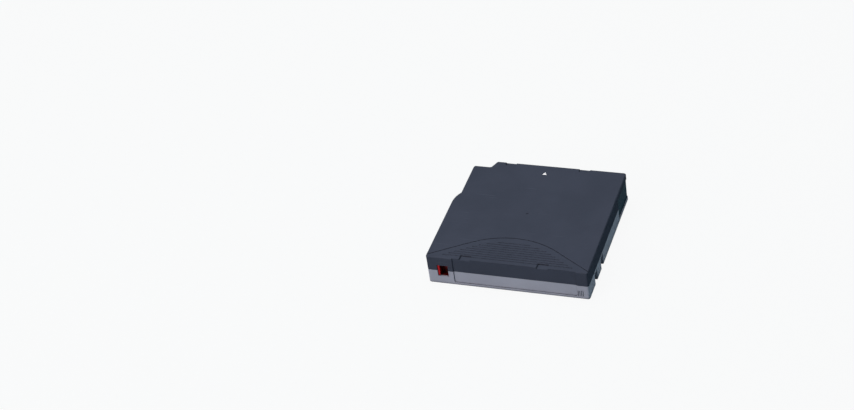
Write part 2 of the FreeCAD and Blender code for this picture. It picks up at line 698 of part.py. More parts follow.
def coil(name, plane, axis, middle, radius, wire, start, end, turns):
    """A coil spring between two seats, wound along one of the origin's axes.

    The wire is drawn six-sided, which keeps the many turns light.
    """
    body = new_piece(name)
    across = f"({start}) + {wire} / 2 + rest_gap"
    section = [(f"{radius} + {wire} / 2 * cos({60 * n + 30})",
                f"{across} + {wire} / 2 * sin({60 * n + 30})") for n in range(6)]
    feature = body.newObject("PartDesign::AdditiveHelix", "Coil")
    feature.Profile = sketch(body, "Coil", plane, "0", section)
    feature.ReferenceAxis = (origin(body, axis), [""])
    feature.Mode = "height-turns-angle"
    feature.setExpression("Height", bound(f"({end}) - ({start}) - {wire} - 2 * rest_gap"))
    feature.setExpression("Turns", bound(turns))
    for letter, text in zip("xyz", middle):
        body.setExpression(f"Placement.Base.{letter}", bound(text))
    return body


def write_protect_slider():
    body = new_piece("write_protect_slider")
    add(body, "Plate", "slider_z", "slider_top - slider_z",
        box("slider_left", "slider_right", "slider_y", "slider_back"))
    add(body, "Lug", "lock_low + slide_fit", "lock_tall - 2 * slide_fit",
        box("lock_x + slide_fit", "lock_x + lug_wide", "lug_y", "slider_y"))
    cut(body, "ThumbHollow", "-slider_y", "thumb_deep",
        box("lock_x + lug_wide", "lock_end", "lock_low", "lock_low + lock_tall"),
        plane="XZ_Plane")
    return body


# ---- reel ---------------------------------------------------------------------------------

def teeth(body, name, inner, outer, root, tip, root_half, tip_half, count):
    """A ring of straight teeth with sloping flanks on a flat face; root and tip are heights."""
    feature = add(body, name, inner, f"({outer}) - ({inner})", [
        (f"-{root_half}", root), (root_half, root), (tip_half, tip), (f"-{tip_half}", tip)],
        plane="YZ_Plane")
    return ring_of(body, name + "s", feature, count)


def half_pitch(body):
    """Turns a piece of the reel so that its lock teeth stand between those of the brake button."""
    body.setExpression("Placement.Rotation.Angle", bound("180 / lock_teeth"))


def reel_hub():
    body = new_piece("reel_hub")
    recess = "(hub_z + plate_t)"
    step_r = "(rim_r + slide_fit)"
    turn(body, "Hub", [
        ("0", recess), ("plate_r + rest_gap", recess), ("plate_r + rest_gap", "hub_z"),
        ("gear_in", "hub_z"), ("gear_in", "gear_root"), ("gear_out", "gear_root"),
        ("gear_out", "hub_z"), (step_r, "hub_z"), (step_r, "flange_z"), ("reel_r", "flange_z"),
        ("reel_r", "tape_low"), ("hub_r", "tape_low"), ("hub_r", "tape_high"),
        ("hub_bore", "tape_high"), ("hub_bore", "deck_z"), ("0", "deck_z")])
    teeth(body, "DriveTooth", "gear_in + leg_fit", "gear_out - leg_fit", "gear_root",
          "hub_z + rest_gap", "gear_half", "gear_tip", "gear_teeth")
    teeth(body, "LockTooth", "tooth_in", "tooth_out", "deck_z", "deck_z + tooth_tall",
          "tooth_half", "tooth_tip", "lock_teeth")
    hole = cut(body, "LegHole", "hub_z", "deck_z - hub_z",
               box("gear_in", "gear_out", "-leg_wide / 2 - leg_fit", "leg_wide / 2 + leg_fit"),
               up=True)
    ring_of(body, "LegHoles", hole, "3")
    half_pitch(body)
    return body


def upper_flange():
    body = new_piece("upper_flange")
    outer = "(hub_bore - rest_gap)"
    inner = f"({outer} - spigot_t)"
    turn(body, "Flange", [
        (inner, "tape_high - spigot_len"), (outer, "tape_high - spigot_len"),
        (outer, "tape_high"), ("reel_r", "tape_high"), ("reel_r", "reel_top"),
        (inner, "reel_top")])
    return body


def reel_plate():
    body = new_piece("reel_plate")
    turn(body, "Plate", box("plate_in", "plate_r", "hub_z", "hub_z + plate_t"))
    return body


def tape_pack():
    body = new_piece("tape_pack")
    turn(body, "Pack", box("hub_r + rest_gap", "pack_r", "tape_low + tape_play / 2",
                           "tape_high - tape_play / 2"))
    return body


# ---- reel lock ----------------------------------------------------------------------------

def brake_button():
    body = new_piece("brake_button")
    ring_in = "(tooth_in - slide_fit)"
    turn(body, "Button", [
        ("0", "brake_under"), (ring_in, "brake_under"), (ring_in, "brake_root"),
        ("brake_r", "brake_root"), ("brake_r", "brake_top"), ("post_r", "brake_top"),
        ("post_r", "post_top"), ("0", "post_top")])
    teeth(body, "LockTooth", "tooth_in", "tooth_out", "brake_root", "brake_tip",
          "tooth_half", "tooth_tip", "lock_teeth")
    cut(body, "KeyWay", "post_top", "post_top - brake_top",
        cross("key_wide / 2 + key_fit", "key_t / 2 + key_fit"))
    return body


def release_pad():
    body = new_piece("release_pad")
    leg_in, leg_out = "gear_in + leg_fit", "gear_out - leg_fit"
    add(body, "Middle", "pad_z", "arm_t", ("circle", "0", "0", "pad_hub"))
    add(body, "Knob", "pad_top", "brake_under - rest_gap - pad_top",
        ("circle", "0", "0", "pad_boss"))
    arm = add(body, "Arm", "pad_z", "arm_t",
              box("0", leg_out, "-leg_wide / 2", "leg_wide / 2"))
    ring_of(body, "Arms", arm, "3")
    leg = add(body, "Leg", "hub_z + leg_short", "pad_z - hub_z - leg_short",
              box(leg_in, leg_out, "-leg_wide / 2", "leg_wide / 2"))
    ring_of(body, "Legs", leg, "3")
    half_pitch(body)
    return body


# ---- leader pin ---------------------------------------------------------------------------

def at_pin(body, turned=False):
    """Puts a body on the axis of the parked pin, turned so that its X runs along the tape."""
    body.setExpression("Placement.Base.x", bound("pin_at_x"))
    body.setExpression("Placement.Base.y", bound("pin_at_y"))
    if turned:
        body.setExpression("Placement.Rotation.Angle", bound(
            "atan2(pin_at_y; pin_at_x) - 180 deg + asin(leader_r / pin_far)"))


def leader_pin():
    body = new_piece("leader_pin")
    turn(body, "Pin", [
        ("0", "pin_low"), ("pin_head_r", "pin_low"), ("pin_head_r", "tape_low"),
        ("pin_r", "tape_low"), ("pin_r", "tape_high"), ("pin_head_r", "tape_high"),
        ("pin_head_r", "pin_high"), ("0", "pin_high")])
    at_pin(body)
    return body


def pin_clip():
    body = new_piece("pin_clip")
    inner = "(pin_r + rest_gap)"
    outer = f"({inner} + clip_t)"
    corners = [(f"{r} * cos(clip_gap)", f"{r} * sin(clip_gap)") for r in (outer, inner)]
    (out_x, out_y), (in_x, in_y) = corners
    add(body, "Clip", "tape_low + tape_play", "tape_w - tape_play", [
        (out_x, out_y), (f"-{outer}", "0", outer, 1), (out_x, f"-{out_y}", outer, 1),
        (in_x, f"-{in_y}"), (f"-{inner}", "0", inner, -1), (in_x, in_y, inner, -1)])
    at_pin(body, turned=True)
    return body


def tape_leader():
    body = new_piece("tape_leader")
    add(body, "Strip", "tape_low + tape_play / 2", "tape_w",
        box("pin_r", "sqrt(pin_far ^ 2 - leader_r ^ 2)", "-leader_t / 2", "leader_t / 2"))
    at_pin(body, turned=True)
    return body


def pin_spring():
    body = new_piece("pin_spring")
    touch_y = "(pin_at_y + pin_head_r)"
    back_x = "(pin_at_x - 2 * pin_head_r)"
    knee_x = "(pin_at_x + pin_r)"
    knee_y = f"({touch_y} + pin_r)"
    add(body, "Strip", "pin_low", "pin_high - pin_low", [
        (back_x, "wall_y - leaf_t"), ("pin_at_x - leaf_t", "wall_y - leaf_t"),
        (knee_x, knee_y), ("pin_at_x", f"{touch_y} + leaf_t"),
        ("pin_at_x", touch_y), (f"{knee_x} + leaf_t", knee_y),
        ("pin_at_x", "wall_y"), (back_x, "wall_y")])
    cut(body, "ArmGap", "-pin_at_y", "half_d - pin_at_y",
        box("pin_at_x - pin_head_r", "pin_at_x + 2 * pin_head_r",
            "pin_low + leaf_arm", "pin_high - leaf_arm"), plane="XZ_Plane")
    return body


# ---- memory chip --------------------------------------------------------------------------

def on_slope(body):
    """Puts a body on the sloped ribs in the label end corner."""
    body.Placement.Rotation = FreeCAD.Rotation(FreeCAD.Vector(1, 0, 0), -45)
    body.setExpression("Placement.Base.x", bound("board_x"))
    body.setExpression("Placement.Base.y", bound("board_slip * cos(45) - wall_y"))
    body.setExpression("Placement.Base.z", bound(
        "floor_t + board_rise - board_slip * cos(45) + rest_gap"))


def memory_board():
    body = new_piece("memory_board")
    add(body, "Board", "0", "board_t", box("0", "board_w", "0", "board_d"))
    on_slope(body)
    return body


def memory_chip():
    body = new_piece("memory_chip")
    mid_x, mid_y = "board_w / 2", "board_d / 2"
    add(body, "Chip", "board_t", "chip_t",
        box(f"{mid_x} - chip_w / 2", f"{mid_x} + chip_w / 2",
            f"{mid_y} - chip_w / 2", f"{mid_y} + chip_w / 2"))
    on_slope(body)
    return body


bottom_shell()
top_shell()
screws()
door()
write_protect_slider()
reel_hub()
upper_flange()
reel_plate()
tape_pack()
brake_button()
coil("brake_spring", "XZ_Plane", "Z_Axis", ("0", "0", "0"), "spring_r", "spring_wire",
     "brake_top", "roof_z", "spring_turns")
release_pad()
coil("door_spring", "XY_Plane", "Y_Axis", ("door_spring_x", "0", "door_spring_z"),
     "door_spring_r", "door_wire", "seat_rear", "seat_front", "door_turns")
leader_pin()
pin_clip()
tape_leader()
pin_spring()
memory_board()
memory_chip()
doc.recompute()

for item in doc.Objects:
    if {"Invalid", "Error"} & set(item.State):
        raise SystemExit(f"{item.Label} did not build: {item.State}")
    if item.TypeId == "PartDesign::Pocket":
        if item.Shape.Volume >= item.BaseFeature.Shape.Volume:
            raise SystemExit(f"{item.Label} cuts nothing")
os.makedirs("parts", exist_ok=True)
for piece in pieces:
    shape = piece.Shape
    if shape.isNull() or not shape.isValid():
        raise SystemExit(f"{piece.Label} is not a valid solid")
for piece in pieces:
    piece.Shape.exportStep(f"parts/{piece.Label}.step")
    print(f"{piece.Label}: {piece.Shape.Volume:.1f} mm3, {len(piece.Shape.Solids)} solid(s), "
          f"{len(piece.Shape.Faces)} faces")
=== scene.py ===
import math

import bmesh
import bpy
from mathutils import Matrix, Vector


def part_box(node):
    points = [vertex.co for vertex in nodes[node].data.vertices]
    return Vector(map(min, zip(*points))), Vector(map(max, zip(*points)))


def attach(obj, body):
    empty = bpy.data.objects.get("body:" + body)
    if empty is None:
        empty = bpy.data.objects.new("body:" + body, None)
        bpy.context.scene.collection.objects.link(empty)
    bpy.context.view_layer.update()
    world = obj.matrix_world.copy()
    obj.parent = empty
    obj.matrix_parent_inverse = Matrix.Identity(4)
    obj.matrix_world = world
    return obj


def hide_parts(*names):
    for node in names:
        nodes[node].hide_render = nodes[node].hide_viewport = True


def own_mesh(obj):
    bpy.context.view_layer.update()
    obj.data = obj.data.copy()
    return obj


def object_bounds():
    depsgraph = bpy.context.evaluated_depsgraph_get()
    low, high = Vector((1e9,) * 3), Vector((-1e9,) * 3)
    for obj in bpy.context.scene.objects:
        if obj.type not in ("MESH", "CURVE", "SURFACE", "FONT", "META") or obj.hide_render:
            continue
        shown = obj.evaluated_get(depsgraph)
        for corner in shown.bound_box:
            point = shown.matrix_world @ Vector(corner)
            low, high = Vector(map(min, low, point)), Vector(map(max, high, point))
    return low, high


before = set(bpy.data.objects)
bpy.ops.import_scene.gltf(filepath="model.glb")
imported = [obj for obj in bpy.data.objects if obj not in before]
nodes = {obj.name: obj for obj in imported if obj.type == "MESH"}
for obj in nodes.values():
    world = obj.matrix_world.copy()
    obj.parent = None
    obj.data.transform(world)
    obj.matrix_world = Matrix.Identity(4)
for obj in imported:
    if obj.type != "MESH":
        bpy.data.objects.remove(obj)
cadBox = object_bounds()
mm = 0.001
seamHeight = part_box("bottom_shell")[1].z
print("frame loaded:", len(nodes), "nodes")


def srgb(red, green, blue):
    # colours are written as 0..255 and turned to linear for the shader
    def linear(level):
        level /= 255
        return level / 12.92 if level <= 0.04045 else ((level + 0.055) / 1.055) ** 2.4
    return (linear(red), linear(green), linear(blue), 1)


# camera and light

camera = {"place": (0.33402, -0.90972, 0.78557), "turn": (52.06, 7.43, 18.10), "lens": 81.2}


def makeCamera():
    data = bpy.data.cameras.new("camera")
    data.lens = camera["lens"]
    data.sensor_width = 36
    eye = bpy.data.objects.new("camera", data)
    eye.location = camera["place"]
    eye.rotation_euler = [math.radians(angle) for angle in camera["turn"]]
    bpy.context.scene.collection.objects.link(eye)
    bpy.context.scene.camera = eye


lamps = [
    # name, where it stands, side of the square, watts, tint
    ("overhead", (-0.10, 0.10, 1.5), 1.0, 17.1, (1, 1, 1)),
    ("labelSide", (-0.85, -1.15, 0.75), 0.9, 17.0, (1, 0.86, 0.82)),
    ("doorSide", (1.5, 0.5, 0.4), 1.0, 0.5, (0.15, 0.85, 1)),
]


def makeLamps():
    for name, place, size, watts, tint in lamps:
        data = bpy.data.lights.new(name, "AREA")
        data.size = size
        data.energy = watts
        data.color = tint
        lamp = bpy.data.objects.new(name, data)
        lamp.location = place
        lamp.rotation_euler = (-Vector(place)).to_track_quat("-Z", "Y").to_euler()
        bpy.context.scene.collection.objects.link(lamp)


# shader helpers

def plug(tree, node, inputs):
    for name, source in inputs.items():
        if isinstance(source, bpy.types.NodeSocket):
            tree.links.new(source, node.inputs[name])
        else:
            node.inputs[name].default_value = source


def addNode(tree, kind, inputs=None, **settings):
    node = tree.nodes.new("ShaderNode" + kind)
    for name, setting in settings.items():
        setattr(node, name, setting)
    plug(tree, node, inputs or {})
    return node


def maths(tree, operation, *values, clamp=False):
    node = addNode(tree, "Math", dict(enumerate(values)), operation=operation, use_clamp=clamp)
    return node.outputs[0]


def remap(tree, value, low, high, newLow=0.0, newHigh=1.0):
    node = addNode(tree, "MapRange", {0: value, 1: low, 2: high, 3: newLow, 4: newHigh},
                   interpolation_type="SMOOTHSTEP")
    return node.outputs[0]


def spread(tree, value, low, high, pair):
    # straight from low..high to the pair, where remap eases in and out
    node = addNode(tree, "MapRange", {0: value, 1: low, 2: high, 3: pair[0], 4: pair[1]})
    return node.outputs[0]


def mixColour(tree, factor, first, second):
    node = addNode(tree, "Mix", {0: factor, 6: first, 7: second}, data_type="RGBA")
    return node.outputs[2]


def blended(tree, first, second, part):
    return maths(tree, "ADD", maths(tree, "MULTIPLY", first, part),
                 maths(tree, "MULTIPLY", second, 1 - part))


def noise(tree, position, scale, detail=2.0, rough=0.5):
    node = addNode(tree, "TexNoise", {"Vector": position, "Scale": scale, "Detail": detail,
                                      "Roughness": rough})
    return node.outputs[0]


def stretched(tree, position, scale, turn=(0, 0, 0), shift=(0, 0, 0)):
    node = addNode(tree, "Mapping", {"Vector": position, "Location": shift,
                                     "Rotation": [math.radians(a) for a in turn],
                                     "Scale": scale})
    return node.outputs[0]


def fromAxis(tree, position):
    flat = addNode(tree, "VectorMath", {0: position, 1: (1, 1, 0)}, operation="MULTIPLY")
    radius = addNode(tree, "VectorMath", {0: flat.outputs[0]}, operation="LENGTH")
    return radius.outputs["Value"]


def rings(tree, radius, width, detail):
    node = addNode(tree, "TexNoise", {"W": radius, "Detail": detail,
                                      "Scale": 1 / (width * mm)}, noise_dimensions="1D")
    return node.outputs[0]


def newGroup(name, inputs, outputs):
    tree = bpy.data.node_groups.new(name, "ShaderNodeTree")
    for label, kind in inputs:
        tree.interface.new_socket(label, in_out="INPUT", socket_type="NodeSocket" + kind)
    for label, kind in outputs:
        tree.interface.new_socket(label, in_out="OUTPUT", socket_type="NodeSocket" + kind)
    entry = tree.nodes.new("NodeGroupInput").outputs
    leave = tree.nodes.new("NodeGroupOutput").inputs
    return tree, entry, leave


def useGroup(tree, group, inputs):
    node = tree.nodes.new("ShaderNodeGroup")
    node.node_tree = group
    plug(tree, node, inputs)
    return node.outputs


# eroded mould texture: fine grain for the bump and soft clouds in colour and gloss
mould = {"cloudScale": 38, "speck": (0.35, 0.68), "blotch": (0.3, 0.7), "speckShare": 0.45}


def makeMouldSkin():
    tree, entry, leave = newGroup(
        "mouldSkin",
        [("Position", "Vector"), ("Grain Scale", "Float"), ("Colour", "Color"),
         ("Cloud Colour", "Color"), ("Roughness Low", "Float"), ("Roughness High", "Float")],
        [("Colour", "Color"), ("Roughness", "Float"), ("Height", "Float")])
    grain = noise(tree, entry["Position"], entry["Grain Scale"], 3, 0.55)
    clouds = noise(tree, entry["Position"], mould["cloudScale"], 4, 0.55)
    speck = remap(tree, grain, *mould["speck"])
    blotch = remap(tree, clouds, *mould["blotch"])
    share = blended(tree, speck, blotch, mould["speckShare"])
    tree.links.new(mixColour(tree, share, entry["Colour"], entry["Cloud Colour"]),
                   leave["Colour"])
    gloss = spread(tree, share, 0.0, 1.0, (entry["Roughness Low"], entry["Roughness High"]))
    tree.links.new(gloss, leave["Roughness"])
    tree.links.new(grain, leave["Height"])
    return tree


# a rounded normal on every edge, and a broken mask where handling has polished it
rubbing = {"facing": (0.995, 0.80), "patchScale": 240, "patches": (0.38, 0.66)}


def makeWornEdge():
    tree, entry, leave = newGroup(
        "wornEdge",
        [("Position", "Vector"), ("Width", "Float"), ("Wear", "Float")],
        [("Mask", "Float"), ("Normal", "Vector")])
    bevel = addNode(tree, "Bevel", {"Radius": entry["Width"]}, samples=6)
    surface = addNode(tree, "NewGeometry")
    facing = addNode(tree, "VectorMath", {0: bevel.outputs[0], 1: surface.outputs["Normal"]},
                     operation="DOT_PRODUCT").outputs["Value"]
    edge = remap(tree, facing, *rubbing["facing"])
    patches = remap(tree, noise(tree, entry["Position"], rubbing["patchScale"], 4, 0.65),
                    *rubbing["patches"])
    mask = maths(tree, "MULTIPLY", maths(tree, "MULTIPLY", edge, patches), entry["Wear"],
                 clamp=True)
    tree.links.new(mask, leave["Mask"])
    tree.links.new(bevel.outputs[0], leave["Normal"])
    return tree


# hairline scratches in two directions and faint smudges from fingers
touches = {"scratches": [((0, 0, 24), (0.3, 0.1, 0)), ((0, 0, -57), (0.7, 0.4, 0.2))],
           "hairline": (22, 1500, 700), "hair": (0.71, 0.76), "gapScale": 60,
           "gaps": (0.5, 0.62), "smudgeScale": 24, "smudge": (0.48, 0.72)}


def makeHandling():
    tree, entry, leave = newGroup(
        "handling", [("Position", "Vector")], [("Scratch", "Float"), ("Smudge", "Float")])
    lines = []
    for turn, shift in touches["scratches"]:
        along = stretched(tree, entry["Position"], touches["hairline"], turn, shift)
        lines.append(remap(tree, noise(tree, along, 1.0, 1, 0.4), *touches["hair"]))
    gaps = remap(tree, noise(tree, entry["Position"], touches["gapScale"], 2),
                 *touches["gaps"])
    scratch = maths(tree, "MULTIPLY", maths(tree, "MAXIMUM", *lines), gaps)
    tree.links.new(scratch, leave["Scratch"])
    smudge = remap(tree, noise(tree, entry["Position"], touches["smudgeScale"], 5, 0.6),
                   *touches["smudge"])
    tree.links.new(smudge, leave["Smudge"])
    return tree


# painted shade from how closed in a point is: grooves, pockets and the foot are darkened, a
# little unevenly
recess = {"patchScale": 420, "patches": (0.2, 0.7, 0.7, 1.0)}


def makeRecessShade():
    tree, entry, leave = newGroup(
        "recessShade", [("Position", "Vector"), ("Reach", "Float"), ("Open", "Float"),
                        ("Closed", "Float"), ("Amount", "Float")], [("Mask", "Float")])
    cover = addNode(tree, "AmbientOcclusion", {"Distance": entry["Reach"]}, samples=8)
    closed = remap(tree, cover.outputs["AO"], entry["Open"], entry["Closed"])
    patches = remap(tree, noise(tree, entry["Position"], recess["patchScale"], 3, 0.6),
                    *recess["patches"])
    mask = maths(tree, "MULTIPLY", maths(tree, "MULTIPLY", closed, patches),
                 entry["Amount"], clamp=True)
    tree.links.new(mask, leave["Mask"])
    return tree


mouldSkin = makeMouldSkin()
wornEdge = makeWornEdge()
handling = makeHandling()
recessShade = makeRecessShade()


def newMaterial(name, sockets):
    material = bpy.data.materials.new(name)
    material.use_nodes = True
    tree = material.node_tree
    shader = tree.nodes["Principled BSDF"]
    for label, amount in sockets.items():
        shader.inputs[label].default_value = amount
    position = addNode(tree, "TexCoord").outputs["Object"]
    return material, tree, shader, position


def feed(tree, shader, colour, roughness, height, depth, normal=None):
    tree.links.new(colour, shader.inputs["Base Color"])
    tree.links.new(roughness, shader.inputs["Roughness"])
    inputs = {"Height": height, "Distance": depth, "Strength": 1.0}
    if normal is not None:
        inputs["Normal"] = normal
    bump = addNode(tree, "Bump", inputs)
    tree.links.new(bump.outputs[0], shader.inputs["Normal"])


seamShade = 0.75
edgePolish = 0.12


def mouldedPlastic(name, look):
    material, tree, shader, position = newMaterial(name, {
        "IOR": 1.5, "Specular IOR Level": look["shine"]})
    skin = useGroup(tree, mouldSkin, {
        "Position": position, "Grain Scale": 1 / (look["grain"] * mm),
        "Colour": srgb(*look["colour"]), "Cloud Colour": srgb(*look["cloud"]),
        "Roughness Low": look["gloss"][0], "Roughness High": look["gloss"][1]})
    edge = useGroup(tree, wornEdge, {
        "Position": position, "Width": look["edge"] * mm, "Wear": look["wear"]})
    marks = useGroup(tree, handling, {"Position": position})
    colour = mixColour(tree, edge["Mask"], skin["Colour"], srgb(*look["worn"]))
    scratch = maths(tree, "MULTIPLY", marks["Scratch"], look["scratch"])
    colour = mixColour(tree, scratch, colour, srgb(*look["worn"]))
    # painted shade: grooves, pockets and the foot are darkened where the surface is closed in
    shade = useGroup(tree, recessShade, {
        "Position": position, "Reach": look["reach"] * mm, "Open": look["deep"][0],
        "Closed": look["deep"][1], "Amount": look["shade"]})
    colour = mixColour(tree, shade["Mask"], colour, srgb(*look["shadeColour"]))
    # painted shade: a thin dark line along the seam between the two shells, where a groove
    # would be in shade
    if "seam" in look:
        level = addNode(tree, "SeparateXYZ", {0: position}).outputs["Z"]
        far = maths(tree, "ABSOLUTE", maths(tree, "SUBTRACT", level, seamHeight))
        line = remap(tree, far, look["seam"] * mm, 0, 0, seamShade)
        colour = mixColour(tree, line, colour, srgb(*look["shadeColour"]))
    smear = maths(tree, "MULTIPLY", marks["Smudge"], look["smudge"])
    roughness = maths(tree, "SUBTRACT", skin["Roughness"], smear)
    polished = maths(tree, "MULTIPLY", edge["Mask"], edgePolish)
    roughness = maths(tree, "SUBTRACT", roughness, polished, clamp=True)
    feed(tree, shader, colour, roughness, skin["Height"], look["depth"] * mm,
         edge["Normal"])
    return material


def paint(material, *names):
    for name in names:
        slots = nodes[name].data.materials
        slots.clear()
        slots.append(material)


# the two case shells

# each look's dark colour, reach, deep and shade set its painted shade in grooves, pockets and
# along the foot; seam is the width of its painted seam shade
topShell = {"colour": (60, 66, 79), "cloud": (66, 72, 86), "worn": (98, 106, 122),
            "shadeColour": (14, 17, 24), "reach": 0.9, "deep": (0.86, 0.35), "shade": 0.7,
            "grain": 0.22, "depth": 0.018, "gloss": (0.76, 0.90), "shine": 0.005,
            "edge": 0.30, "wear": 0.35, "scratch": 0.22, "smudge": 0.08, "seam": 0.16}
bottomShell = {"colour": (153, 158, 173), "cloud": (164, 169, 184), "worn": (196, 202, 213),
               "shadeColour": (26, 32, 44), "reach": 3.6, "deep": (0.86, 0.38), "shade": 0.9,
               "grain": 0.22, "depth": 0.018, "gloss": (0.66, 0.80), "shine": 0.06,
               "edge": 0.30, "wear": 0.35, "scratch": 0.20, "smudge": 0.08, "seam": 0.12}
paint(mouldedPlastic("darkShell", topShell), "top_shell")
paint(mouldedPlastic("lightShell", bottomShell), "bottom_shell")

# door and write protect slider

doorPlate = {"colour": (11, 42, 56), "cloud": (15, 50, 65), "worn": (48, 84, 98),
             "shadeColour": (5, 9, 14), "reach": 0.8, "deep": (0.9, 0.3), "shade": 0.6,
             "grain": 0.30, "depth": 0.006, "gloss": (0.62, 0.76), "shine": 0.03,
             "edge": 0.15, "wear": 0.4, "scratch": 0.45, "smudge": 0.06}
# the slider's deep thumb hollow is filled with strong painted shade
slider = {"colour": (160, 8, 18), "cloud": (178, 14, 24), "worn": (214, 84, 84),
          "shadeColour": (14, 1, 1), "reach": 4.5, "deep": (0.93, 0.70), "shade": 1.0,
          "grain": 0.25, "depth": 0.006, "gloss": (0.40, 0.52), "shine": 0.15,
          "edge": 0.12, "wear": 0.3, "scratch": 0.25, "smudge": 0.05}
paint(mouldedPlastic("navyDoor", doorPlate), "door")
paint(mouldedPlastic("redSlider", slider), "write_protect_slider")

# reel, brake and release pad

reel = {"colour": (34, 35, 38), "cloud": (43, 44, 48), "worn": (88, 90, 95),
        "shadeColour": (12, 12, 13), "reach": 0.8, "deep": (0.9, 0.3), "shade": 0.5,
        "grain": 0.28, "depth": 0.008, "gloss": (0.40, 0.54), "shine": 0.3,
        "edge": 0.15, "wear": 0.4, "scratch": 0.35, "smudge": 0.05}
acetal = {"colour": (206, 202, 190), "cloud": (218, 214, 203), "worn": (236, 233, 226),
          "shadeColour": (96, 88, 74), "reach": 0.8, "deep": (0.9, 0.3), "shade": 0.5,
          "grain": 0.35, "depth": 0.005, "gloss": (0.30, 0.42), "shine": 0.4,
          "edge": 0.15, "wear": 0.3, "scratch": 0.15, "smudge": 0.04}
paint(mouldedPlastic("reelPlastic", reel), "reel_hub", "upper_flange")
paint(mouldedPlastic("paleAcetal", acetal), "brake_button", "release_pad", "pin_clip")
print("plastics done")


# metals

patina = {"cloudScale": 160, "streaks": (0.3, 0.7), "stained": (0.5, 0.75),
          "streakShare": 0.5}


def metal(name, look):
    material, tree, shader, position = newMaterial(name, {"Metallic": 1.0})
    grain = noise(tree, stretched(tree, position, look["brush"]), 1.0, 4, 0.6)
    clouds = noise(tree, position, patina["cloudScale"], 3)
    streaks = remap(tree, grain, *patina["streaks"])
    colour = mixColour(tree, streaks, srgb(*look["colour"]), srgb(*look["bright"]))
    stain = maths(tree, "MULTIPLY", remap(tree, clouds, *patina["stained"]), look["stain"])
    colour = mixColour(tree, stain, colour, srgb(*look["dull"]))
    share = blended(tree, streaks, clouds, patina["streakShare"])
    rough = spread(tree, share, 0.2, 0.8, look["gloss"])
    edge = useGroup(tree, wornEdge, {
        "Position": position, "Width": look["edge"] * mm, "Wear": 0.0})
    feed(tree, shader, colour, rough, grain, look["depth"] * mm, edge["Normal"])
    return material


zincScrew = {"colour": (150, 152, 155), "bright": (190, 192, 196), "dull": (110, 108, 100),
             "brush": (900, 900, 5200), "stain": 0.4, "gloss": (0.26, 0.44), "depth": 0.003,
             "edge": 0.1}
springWire = {"colour": (176, 178, 182), "bright": (200, 202, 206), "dull": (140, 138, 132),
              "brush": (900, 900, 900), "stain": 0.2, "gloss": (0.26, 0.38),
              "depth": 0.0008, "edge": 0.02}
pinSteel = {"colour": (172, 174, 178), "bright": (205, 207, 210), "dull": (140, 138, 134),
            "brush": (700, 700, 9000), "stain": 0.15, "gloss": (0.12, 0.24), "depth": 0.001,
            "edge": 0.08}
springMetal = metal("springSteel", springWire)
paint(metal("pinSteel", pinSteel), "leader_pin")
paint(springMetal, "pin_spring")


def turnedPlate(name, look):
    # faced on a lathe: the fine rings follow the distance from the middle
    material, tree, shader, position = newMaterial(name, {"Metallic": 1.0})
    turned = rings(tree, fromAxis(tree, position), look["ring"], 2.0)
    clouds = remap(tree, noise(tree, position, look["cloudScale"], 4), *look["clouds"])
    colour = mixColour(tree, turned, srgb(*look["colour"]), srgb(*look["bright"]))
    stain = maths(tree, "MULTIPLY", clouds, look["stain"])
    colour = mixColour(tree, stain, colour, srgb(*look["dull"]))
    rough = spread(tree, clouds, 0.0, 1.0, look["gloss"])
    feed(tree, shader, colour, rough, turned, look["depth"] * mm)
    return material


clutchPlate = {"colour": (128, 130, 133), "bright": (176, 178, 182), "dull": (92, 92, 90),
               "ring": 0.18, "cloudScale": 210, "clouds": (0.35, 0.7), "stain": 0.35,
               "gloss": (0.28, 0.44), "depth": 0.006}
paint(turnedPlate("clutchSteel", clutchPlate), "reel_plate")
print("metals done")


# tape: thin layers wound round the hub, seen edge-on between the flanges

def woundTape(name, look):
    material, tree, shader, position = newMaterial(name, {"IOR": 1.55})
    radius = fromAxis(tree, position)
    layers = rings(tree, radius, look["layer"], 4.0)
    proud = rings(tree, radius, look["band"], 1.0)
    share = blended(tree, layers, remap(tree, proud, *look["proud"]), look["layerShare"])
    haze = noise(tree, position, look["hazeScale"], 3)
    colour = mixColour(tree, share, srgb(*look["colour"]), srgb(*look["bright"]))
    rough = spread(tree, haze, 0.3, 0.7, look["gloss"])
    feed(tree, shader, colour, rough, share, look["depth"] * mm)
    return material


tape = {"colour": (30, 24, 22), "bright": (66, 54, 48), "layer": 0.10, "band": 1.4,
        "proud": (0.55, 0.7), "layerShare": 0.6, "hazeScale": 90, "gloss": (0.20, 0.34),
        "depth": 0.02}
paint(woundTape("woundTape", tape), "tape_pack", "tape_leader")


# memory board: a printed loop aerial round its rim under green lacquer

board = {"lacquer": (22, 84, 52), "dim": 0.8, "track": (58, 132, 84),
         "pitch": 0.9, "loops": 5, "long": 17.0, "wide": 8.5, "slope": 45,
         "line": (0.20, 0.26), "cloudScale": 300, "gloss": (0.22, 0.34), "depth": 0.02}


